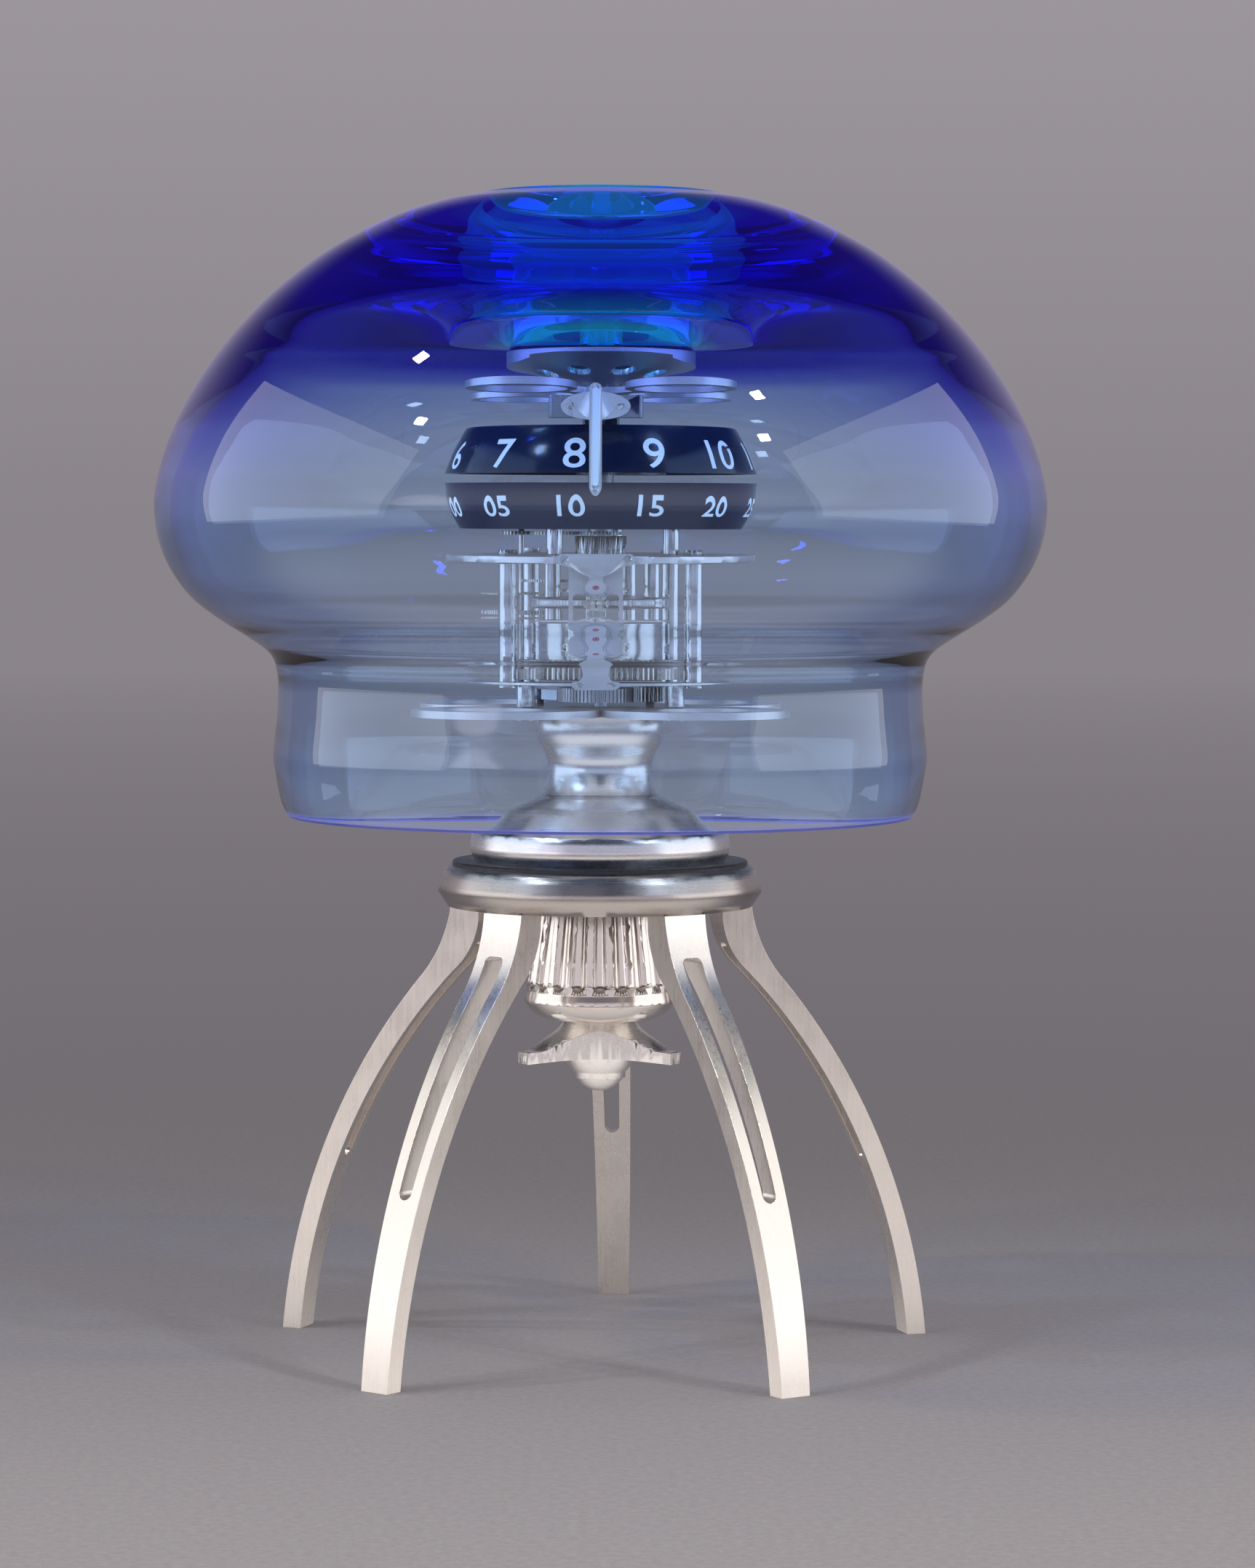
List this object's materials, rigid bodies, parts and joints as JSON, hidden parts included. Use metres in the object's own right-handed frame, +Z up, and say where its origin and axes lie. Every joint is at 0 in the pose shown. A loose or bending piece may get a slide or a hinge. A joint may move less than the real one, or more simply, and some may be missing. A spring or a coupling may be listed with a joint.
{
  "type": "mystery clock",
  "caption": "Free-standing mystery clock: numbered rings turn past a fixed pointer inside a blown glass bell, on slotted legs with a winding knob below.",
  "frame": {"origin": "on the floor under the middle of the clock", "axes": "+Z up along the column, front towards -Y"},
  "size_m": [0.25, 0.25, 0.3254],
  "materials": {
    "satin_nickel": "satin",
    "polished_nickel": "polished",
    "leg_steel": "satin",
    "black_anodised": "satin black anodised",
    "navy_lacquer": "gloss",
    "blue_glass": "clear, blue at the top",
    "black_rubber": "matte",
    "ruby": "polished",
    "spring_steel": "fine satin",
    "gilt_brass": "satin",
    "pointer_steel": "polished"
  },
  "bodies": {
    "stand": {"leg_front_left": "leg_steel", "leg_front_right": "leg_steel", "leg_left": "leg_steel", "leg_right": "leg_steel", "leg_rear": "leg_steel", "base_ring": "satin_nickel", "flared_foot": "satin_nickel", "stem": "satin_nickel", "crown_plate": "satin_nickel", "lower_plate": "satin_nickel", "upper_plate": "satin_nickel", "train_bridge": "satin_nickel", "motion_bridge": "satin_nickel", "escapement_platform": "satin_nickel", "escape_hanger": "satin_nickel", "escape_cock": "satin_nickel", "balance_cock": "satin_nickel", "crown_bridge": "satin_nickel", "dome_cup": "satin_nickel", "reduction_arm": "satin_nickel", "tie_tube": "satin_nickel", "pointer_bracket": "satin_nickel", "frame_screws": "polished_nickel", "fluted_sleeve": "polished_nickel", "sleeve_lip": "polished_nickel", "lower_pillars": "polished_nickel", "movement_pillars": "polished_nickel", "bridge_pillars": "polished_nickel", "centre_post": "polished_nickel", "small_screws": "polished_nickel", "black_spacer": "black_anodised", "dome_gasket": "black_rubber", "jewels": "ruby", "pointer": "pointer_steel"},
    "winder": {"winding_knob": "polished_nickel", "knob_cap": "polished_nickel", "winding_shaft": "spring_steel", "winding_wheel": "satin_nickel", "barrel_arbor": "spring_steel"},
    "setting": {"setting_wheel": "gilt_brass"},
    "click": {"click": "spring_steel"},
    "barrel": {"barrel_drum": "gilt_brass", "barrel_cover": "satin_nickel", "mainspring": "spring_steel"},
    "centre": {"centre_wheel": "gilt_brass"},
    "third": {"third_wheel": "gilt_brass"},
    "fourth": {"contrate_wheel": "gilt_brass"},
    "escape": {"escape_wheel": "gilt_brass"},
    "fork": {"pallet_fork": "spring_steel"},
    "balance": {"balance_wheel": "gilt_brass", "hairspring": "spring_steel"},
    "minute": {"minute_ring": "navy_lacquer", "minute_hub": "satin_nickel"},
    "hour": {"hour_ring": "navy_lacquer", "hour_hub": "satin_nickel"},
    "reduction": {"reduction_wheel": "gilt_brass"},
    "idler": {"idler_wheel": "gilt_brass"},
    "dome": {"glass_dome": "blue_glass", "glass_crown": "blue_glass", "dome_nut": "satin_nickel"}
  },
  "joints": [
    {"name": "minute_turn", "type": "hinge", "parent": "stand", "child": "minute", "pos_m": [0, 0, 0.2374], "axis": [0, 0, 1], "continuous": true},
    {"name": "hour_turn", "type": "hinge", "parent": "stand", "child": "hour", "pos_m": [0, 0, 0.2544], "axis": [0, 0, 1], "continuous": true},
    {"name": "reduction_turn", "type": "hinge", "parent": "stand", "child": "reduction", "pos_m": [0.00575, 0.01579, 0.2544], "axis": [0, 0, 1], "continuous": true},
    {"name": "idler_turn", "type": "hinge", "parent": "stand", "child": "idler", "pos_m": [-0.01216, 0.00494, 0.2298], "axis": [0, 0, 1], "continuous": true},
    {"name": "centre_turn", "type": "hinge", "parent": "stand", "child": "centre", "pos_m": [-0.02252, 0.013, 0.214], "axis": [0, 0, 1], "continuous": true},
    {"name": "barrel_turn", "type": "hinge", "parent": "stand", "child": "barrel", "pos_m": [0, 0, 0.199], "axis": [0, 0, 1], "continuous": true},
    {"name": "third_turn", "type": "hinge", "parent": "stand", "child": "third", "pos_m": [-0.01232, 0.00559, 0.214], "axis": [0, 0, 1], "continuous": true},
    {"name": "fourth_turn", "type": "hinge", "parent": "stand", "child": "fourth", "pos_m": [-0.00131, 0.00325, 0.214], "axis": [0, 0, 1], "continuous": true},
    {"name": "escape_turn", "type": "hinge", "parent": "stand", "child": "escape", "pos_m": [-0.00131, -0.03, 0.2161], "axis": [0, -1, 0], "continuous": true},
    {"name": "fork_rock", "type": "hinge", "parent": "stand", "child": "fork", "pos_m": [-0.00131, -0.03, 0.2102], "axis": [0, -1, 0], "range_deg": [-5, 5]},
    {"name": "balance_swing", "type": "hinge", "parent": "stand", "child": "balance", "pos_m": [-0.00131, -0.034, 0.203], "axis": [0, -1, 0], "range_deg": [-150, 150], "stiffness_Nm_per_rad": 0.000008},
    {"name": "knob_turn", "type": "hinge", "parent": "stand", "child": "winder", "pos_m": [0, 0, 0.088], "axis": [0, 0, 1], "continuous": true},
    {"name": "setting_turn", "type": "hinge", "parent": "stand", "child": "setting", "pos_m": [0.01389, -0.00834, 0.1849], "axis": [0, 0, 1], "continuous": true},
    {"name": "click_swing", "type": "hinge", "parent": "stand", "child": "click", "pos_m": [-0.0169, 0.00453, 0.1849], "axis": [0, 0, 1], "range_deg": [-12, 0]},
    {"name": "dome_lift", "type": "slide", "parent": "stand", "child": "dome", "axis": [0, 0, 1], "range_m": [0, 0.15]}
  ],
  "couplings": [
    {"joint": "hour_turn", "follows": "minute_turn", "ratio": 0.083333},
    {"joint": "reduction_turn", "follows": "minute_turn", "ratio": -0.33333},
    {"joint": "idler_turn", "follows": "minute_turn", "ratio": -0.74419},
    {"joint": "centre_turn", "follows": "minute_turn", "ratio": 1},
    {"joint": "barrel_turn", "follows": "minute_turn", "ratio": -0.11111},
    {"joint": "third_turn", "follows": "minute_turn", "ratio": -8},
    {"joint": "fourth_turn", "follows": "minute_turn", "ratio": 60},
    {"joint": "setting_turn", "follows": "knob_turn", "ratio": -2.75}
  ]
}
